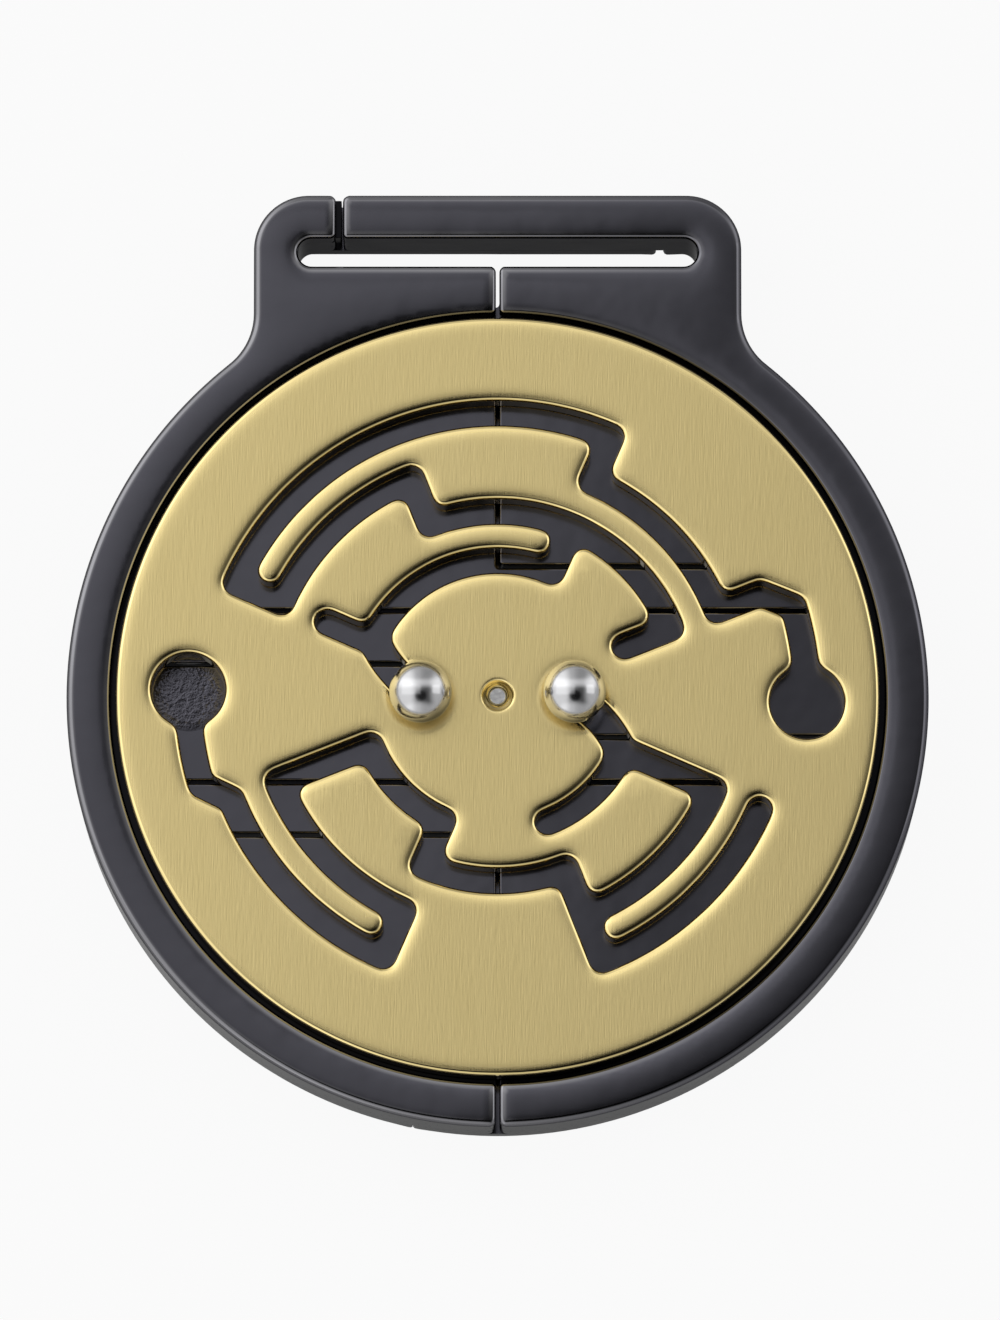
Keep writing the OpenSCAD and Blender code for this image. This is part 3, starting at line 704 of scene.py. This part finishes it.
def lead_slot(turn):
    """Slots of the first leg, turned about the axis: a spiral of steady lead from the ball's seat to the
    first track, wider on its inner side, and the rounding of the hub's corner beside it."""
    n = 12
    k = np.arange(n + 1)
    r = POST_AT + (TRACK_R - POST_AT) * k / n
    a = np.radians(180 - LEAD_TURN * k / n)
    path = np.stack([r * np.cos(a), r * np.sin(a)], 1)
    d = path[np.minimum(k + 1, n)] - path[np.maximum(k - 1, 0)]
    d = d / np.linalg.norm(d, axis=1, keepdims=True)
    side = np.stack([d[:, 1], -d[:, 0]], 1)
    hub = TRACK_R - HALF_W
    u = side[n - 2]
    p = path[n - 2] + u * (HALF_W + LEAD_EXTRA)
    along = p @ u + HUB_ROUND
    middle = u * along + np.array([-u[1], u[0]]) * np.sqrt((hub - HUB_ROUND) ** 2 - along**2)
    touch, back = middle * (hub + 0.2) / (hub - HUB_ROUND), middle - u * (HUB_ROUND + 0.2)
    patch = polygon_depth(np.array([middle, touch, path[n - 1], p - u * 0.2, back]))
    c, s = np.cos(np.radians(turn)), np.sin(np.radians(turn))
    widened = path + side * LEAD_EXTRA
    outer = [line_slot(path[i], path[i + 1], LEAD_HALF_W) for i in range(n)]
    inner = [line_slot(widened[i], widened[i + 1]) for i in range(n)]

    def gap(x, y):
        x, y = x * c + y * s, y * c - x * s
        rounding = np.maximum(-patch(x, y), HUB_ROUND - np.hypot(x - middle[0], y - middle[1]))
        return np.minimum.reduce([f(x, y) for f in outer + inner] + [rounding])

    return [gap]


def keyhole(turn):
    """Keyhole and the track that leads to it, with the corners between them rounded."""
    at = spot(KEY_AT, turn + KEY_TURN)
    lead_in = arc_slot(KEY_AT, turn + KEY_TURN, turn + EXIT_TURN)
    return [lambda x, y: round_meet(np.hypot(x - at[0], y - at[1]) - KEY_R, lead_in(x, y), KEY_ROUND)]


# the labyrinth of one post and then of the other, from the ball's seat to the keyhole, and the
# rounded wall corners, each given by track, wall (1 outer, -1 inner), gate and side of the gate
labyrinth = (
    lead_slot(0) + run(1, 1, 3) + cross(1, 2, 3) + cross(1, 2, 1) + run(2, 0, 2) + cross(1, 2, 0)
    + cross(2, 3, 2) + run(3, 2, 3) + cross(3, 4, 3) + run(4, 1, 3) + cross(3, 4, 1) + run(3, 0, 1)
    + [line_slot(spot(track(3), gate(0)), spot(BEND_R, gate(0)))]
    + [line_slot(spot(BEND_R, gate(0)), spot(KEY_AT, EXIT_TURN))] + keyhole(0)
    + lead_slot(180) + run(1, 6, 7) + cross(1, 3, 7) + run(3, 6, 7) + cross(2, 4, 6) + run(4, 6, 7)
    + run(2, 5, 6) + cross(1, 2, 5) + run(1, 4, 5) + cross(1, 3, 4) + run(3, 4, 5) + cross(3, 4, 5)
    + run(4, 4, 5) + [line_slot(spot(track(4), gate(4)), spot(KEY_AT, 180 + EXIT_TURN))] + keyhole(180)
    + [corner(*c) for c in (
        (1, 1, 3, -1), (1, 1, 1, 1), (2, -1, 1, 1), (2, -1, 1, -1), (2, -1, 0, 1), (2, 1, 2, -1),
        (3, -1, 2, 1), (3, 1, 3, -1), (4, -1, 3, -1), (4, -1, 1, 1), (3, 1, 1, -1), (3, 1, 0, 1),
        (1, 1, 7, -1), (3, -1, 7, -1), (3, -1, 6, 1), (3, 1, 6, 1), (4, -1, 6, 1), (2, 1, 6, -1),
        (2, -1, 5, 1), (1, 1, 5, -1), (1, 1, 4, 1), (3, -1, 4, 1), (3, 1, 5, -1), (4, -1, 5, -1))]
)


def gold_plan(x, y):
    """Depth inside the disc's metal: the least of the depth from the rim, the distances outside all
    the slots, and the distance outside the centre bore."""
    slots = np.minimum.reduce([f(x, y) for f in labyrinth])
    rho = np.hypot(x, y)
    return np.minimum(np.minimum(slots, DISC_R - rho), rho - BORE_R)


def sink(s, soft):
    """Depth of a hollow whose straight side has depth s, with its rim softened:
    (s + sqrt(s^2 + soft^2)) / 2."""
    return (s + np.sqrt(s * s + soft * soft)) / 2


MAP_STEP, MAP_HALF = 0.08, 28.8
map_x, map_y = np.meshgrid(*[np.arange(-MAP_HALF, MAP_HALF, MAP_STEP)] * 2, indexing="ij")
wave = np.fft.fftfreq(len(map_x), MAP_STEP)


def softened(area, width):
    """Map of an area's share around each place, weighted by a bell curve of the given width: the
    area's waves of frequency f are lowered by exp(-2 (pi width f)^2)."""
    bell = np.exp(-2 * (np.pi * width) ** 2 * (wave[:, None] ** 2 + wave[None, :] ** 2))
    return np.real(np.fft.ifft2(np.fft.fft2(area) * bell))


def at_place(values, x, y):
    """A map's value at a place, by linear steps between the four nearest points of the map."""
    u = np.clip((x + MAP_HALF) / MAP_STEP, 0, len(map_x) - 1.001)
    v = np.clip((y + MAP_HALF) / MAP_STEP, 0, len(map_x) - 1.001)
    i, j = u.astype(int), v.astype(int)
    u, v = u - i, v - j
    near = values[i, j] * (1 - v) + values[i, j + 1] * v
    return near * (1 - u) + (values[i + 1, j] * (1 - v) + values[i + 1, j + 1] * v) * u


# share of metal round each place, which eases the corners, and share of slots, which the polishing
# cloth dips into: less towards the rim, and not at all at the countersink
SOFT, CLOTH_SOFT, CLOTH_DIP = 0.2, 0.42, 0.25
all_plan, map_rho = gold_plan(map_x, map_y), np.hypot(map_x, map_y)
metal_share = softened(np.clip(0.5 + all_plan / MAP_STEP, 0, 1), SOFT)
beside = np.where(map_rho < 26, 1.0, 0.6) * (map_rho > 1.6)
dubbing = softened(np.clip(0.5 - all_plan / MAP_STEP, 0, 1) * beside, CLOTH_SOFT)
# share of a bell curve's area up to each step of its width
steps_in = np.linspace(-3.2, 3.2, 257)
bell_sum = np.cumsum(np.exp(-0.5 * steps_in**2))
bell_share = (bell_sum - bell_sum[0]) / (bell_sum[-1] - bell_sum[0])


def smooth_plan(x, y):
    """Depth inside the disc's metal with its corners eased: the depth at which a straight edge would
    have the same share of metal around it."""
    return np.interp(at_place(metal_share, x, y), bell_share, steps_in * SOFT)


def disc_crown(x, y):
    """Drop of the disc's face: two dished ball seats (caps of a sphere), the cone of the countersink,
    and the cloth's dip times the share of slots nearby."""
    ball = (SEAT_R**2 + SEAT_DEPTH**2) / (2 * SEAT_DEPTH)
    drop = 0
    for cx in (-POST_AT, POST_AT):
        rho = np.minimum(np.hypot(x - cx, y), SEAT_REACH)
        drop = drop + sink(SEAT_DEPTH - ball + np.sqrt(ball**2 - rho**2), 0.08)
    rho = np.maximum(np.hypot(x, y), 0.6)
    cone = np.minimum((SINK_R - rho) * PIN_SUNK / (SINK_R - BORE_R), PIN_SUNK)
    drop = drop + sink(cone, 0.06)
    return -drop - CLOTH_DIP * at_place(dubbing, x, y)


def disc_rounds(x, y):
    """Rounding of the disc's upper edges; the bore's edge at the foot of the countersink is crisp."""
    return np.where(np.hypot(x, y) < 1.2, 0.03, EDGE_ROUND)


disc_outline = plan_loops(smooth_plan, EDGE_ROUND, (-27.2, -27.2), (27.2, 27.2), 0.12, 0.5, 8, MAP_STEP)
# points of the face: a grid off the seats and the countersink, rings round their middles, all of
# these well inside the edges but at the countersink, and bands along the edges
RINGS_R, SINK_RINGS_R = 3.0, 1.7
gx, gy = np.meshgrid(*[np.arange(-26.6, 26.6, 0.36)] * 2, indexing="ij")
grid = np.stack([gx.ravel(), gy.ravel()], 1)
off_seats = np.hypot(np.abs(grid[:, 0]) - POST_AT, grid[:, 1]) - RINGS_R
off_sink = np.hypot(grid[:, 0], grid[:, 1]) - SINK_RINGS_R
spread = [grid[np.minimum(off_seats, off_sink) > 0]]
around = np.radians(np.arange(0, 360, 6))
seat_rings, sink_rings = np.arange(1.1, RINGS_R, 0.12), np.arange(0.8, SINK_RINGS_R, 0.07)
for cx, radii in ((-POST_AT, seat_rings), (POST_AT, seat_rings), (0, sink_rings)):
    rr, aa = np.meshgrid(radii, around, indexing="ij")
    spread.append(np.stack([cx + (rr * np.cos(aa)).ravel(), (rr * np.sin(aa)).ravel()], 1))
spread = np.concatenate(spread)
margin = np.where(np.hypot(spread[:, 0], spread[:, 1]) < SINK_RINGS_R, -0.17, 0.95)
face_points = [spread[gold_plan(spread[:, 0], spread[:, 1]) > EDGE_ROUND + margin]]
for off in (0.1, 0.22, 0.36, 0.55, 0.78):
    band = np.concatenate([q + g * off for q, g, level in disc_outline])
    clear = gold_plan(band[:, 0], band[:, 1]) - EDGE_ROUND > off - 0.035
    face_points.append(band[clear & (np.hypot(band[:, 0], band[:, 1]) > 1.9)])

GOLD_DEEP, GOLD_PALE, BRUSH_STRETCH = (0.83, 0.668, 0.3, 1), (0.93, 0.758, 0.36, 1), (1.0, 0.045, 1.0)
gold_plate, tree, shader, coords = new_material("gold_plate", {"Metallic": 1.0})
stretched = add_node(tree, "Mapping", {"Vector": coords, "Scale": BRUSH_STRETCH}).outputs["Vector"]
streaks = noise(tree, stretched, 2400, 3.0, 0.6)
tone = calc(tree, "MULTIPLY_ADD", streaks, 0.6, calc(tree, "MULTIPLY", noise(tree, coords, 60, 3.0), 0.4))
# the brushing and its roughness stop short of the polished edges
to_edge = add_node(tree, "Attribute", {}, attribute_name="edge_depth").outputs["Fac"]
flat = fade(tree, to_edge, 0.0002, 0.00062)
feed(tree, shader, {
    "Base Color": mix(tree, tone, GOLD_DEEP, GOLD_PALE),
    "Roughness": calc(tree, "MULTIPLY_ADD", flat, 0.22, 0.1),
    "Normal": bump(tree, calc(tree, "MULTIPLY", noise(tree, stretched, 13000), flat), 0.5, 0.000018),
})

face_points = np.concatenate(face_points)
disc = layer(
    smooth_plan, disc_outline, DISC_LOW, DISC_TOP, even(EDGE_ROUND), disc_rounds, disc_crown, face_points, 5)
metal_piece("labyrinth_disc_plated", [disc], "disc", ["maze_disc"], gold_plate)

# Posts and balls. Each half carries a steel post, pressed into its arm, and a chrome ball
# pressed on the post's end, which keeps the disc from lifting off.
BALL_R, POST_R, BALL_GAP, POST_SHOWN = 2.2, 0.75, 0.13, 0.8
BALL_Z = DISC_TOP + BALL_GAP + np.sqrt(BALL_R**2 - HALF_W**2)
polished_chrome, tree, shader, coords = new_material(
    "polished_chrome", {"Metallic": 1.0, "Base Color": (0.56, 0.56, 0.57, 1)})
haze = uneven_finish(tree, coords, scale=300, detail=2.0, fineness=0.5, spread=0.06, gloss=0.15)
feed(tree, shader, {"Roughness": haze["Roughness"]})


def ball_profile():
    """Profile of a bored ball: the bevel of the bore's mouth, and an arc of radius BALL_R from the
    mouth's edge up to the crown."""
    mouth = np.arcsin(-np.sqrt(1 - (POST_R + 0.06) ** 2 / BALL_R**2))
    a = np.linspace(mouth, np.pi / 2 - 0.012, 72)
    arc = np.stack([BALL_R * np.cos(a), BALL_Z + BALL_R * np.sin(a)], 1)
    return np.concatenate([[(POST_R + 0.02, arc[0, 1] + 0.05)], arc[:1], arc])


def post_profile():
    """Profile of a plain post from just inside the half's arm up into its ball."""
    top, foot = BALL_Z - POST_SHOWN, FLOOR_Z - 0.2
    return [(MIDDLE_R, foot), (POST_R, foot), (POST_R, foot), (POST_R, top), (POST_R, top), (MIDDLE_R, top)]


for name, at, body in (("left", -POST_AT, "left_frame"), ("right", POST_AT, "right_frame")):
    ball, post = revolve(ball_profile(), at, 128), revolve(post_profile(), at, 64)
    metal_piece(name + "_ball_chrome", [ball], body, [name + "_ball"], polished_chrome)
    metal_piece(name + "_post_steel", [post], body, [name + "_post"], turned_steel)

# Studio. A white table in a pale room, lighter on the left, with a tall soft lamp close on the
# left and a smaller one on the right. The photographer's stand overhead is dark.
TABLE_HALF, TABLE_DROP = 3, 0.00005
corner_ways = ((-1, -1), (1, -1), (1, 1), (-1, 1))
table_corners = [(TABLE_HALF * x, TABLE_HALF * y, -TABLE_DROP) for x, y in corner_ways]
table_mesh = bpy.data.meshes.new("table")
table_mesh.from_pydata(table_corners, [], [(0, 1, 2, 3)])
table = bpy.data.objects.new("table", table_mesh)
bpy.context.scene.collection.objects.link(table)
table_paint, tree, shader, coords = new_material(
    "white_table", {"Base Color": (0.5, 0.5, 0.5, 1), "Roughness": 0.8})
# the camera sees it near white, and reflections see that white at a fifth of its strength
WHITE_SHARE, REFLECTED_SHARE = 0.93, 0.2
rays = tree.nodes.new("ShaderNodeLightPath").outputs
seen = calc(tree, "ADD", rays["Is Glossy Ray"], rays["Is Transmission Ray"])
seen = calc(tree, "MULTIPLY_ADD", seen, REFLECTED_SHARE, rays["Is Camera Ray"])
white = {0: calc(tree, "MULTIPLY", seen, WHITE_SHARE), 1: shader.outputs[0]}
white[2] = tree.nodes.new("ShaderNodeEmission").outputs[0]
# from below, the table is left clear, so that the puzzle's back can be looked at
one_way = {0: tree.nodes.new("ShaderNodeNewGeometry").outputs["Backfacing"]}
one_way[1] = add_node(tree, "MixShader", white).outputs[0]
one_way[2] = tree.nodes.new("ShaderNodeBsdfTransparent").outputs[0]
surface = add_node(tree, "MixShader", one_way).outputs[0]
feed(tree, tree.nodes["Material Output"], {"Surface": surface})
table_mesh.materials.append(table_paint)


def softbox(name, across, along, distance, width, height, radiance):
    """Rectangular lamp that faces the puzzle from a direction given in degrees from overhead, to the
    right and away from the photographer. Its power is radiance * pi * width * height."""
    lamp = bpy.data.lights.new(name, "AREA")
    lamp.shape = "RECTANGLE"
    lamp.size, lamp.size_y = width, height
    lamp.energy = radiance * np.pi * width * height
    holder = bpy.data.objects.new(name, lamp)
    ray = Vector((np.tan(np.radians(across)), np.tan(np.radians(along)), 1)).normalized()
    holder.location = ray * distance
    holder.rotation_mode = "QUATERNION"
    holder.rotation_quaternion = ray.to_track_quat("Z", "Y")
    bpy.context.scene.collection.objects.link(holder)


softbox("left_softbox", -36, 3, 0.34, 0.22, 0.5, 0.3)
softbox("right_softbox", 60, 8, 0.5, 0.24, 0.3, 0.6)

# the room: light parts are added up over its directions, then darkened towards the stand
room = bpy.data.worlds.new("room")
bpy.context.scene.world = room
room.use_nodes = True
tree = room.node_tree
heading = tree.nodes.new("ShaderNodeTexCoord").outputs["Generated"]
parts = add_node(tree, "SeparateXYZ", {"Vector": heading}).outputs
across, along = parts["X"], parts["Y"]
light = fade(tree, across, -0.62, -0.12, 1.02, 0.27)
for direction, start, end, first, last in (
    (across, 0.45, 0.85, 0.0, 0.55), (across, -0.08, 0.08, 0.08, -0.09), (across, 0.1, 0.25, 0.0, -0.08),
    (along, 0.05, 0.42, 0.0, 0.75), (along, 0.5, 0.75, 0.0, -0.45), (along, -0.9, -0.6, 0.45, 0.0),
):
    light = calc(tree, "ADD", light, fade(tree, direction, start, end, first, last))
STAND_WAY = (0.03, -0.37, 0.93)
to_stand = add_node(tree, "VectorMath", {0: heading, 1: STAND_WAY}, operation="DOT_PRODUCT").outputs["Value"]
light = calc(tree, "MULTIPLY", light, fade(tree, to_stand, 0.895, 0.972, 1.0, 0.015))
feed(tree, tree.nodes["Background"], {"Color": (1, 1, 1, 1), "Strength": light})
bpy.context.scene.view_settings.view_transform = "Standard"
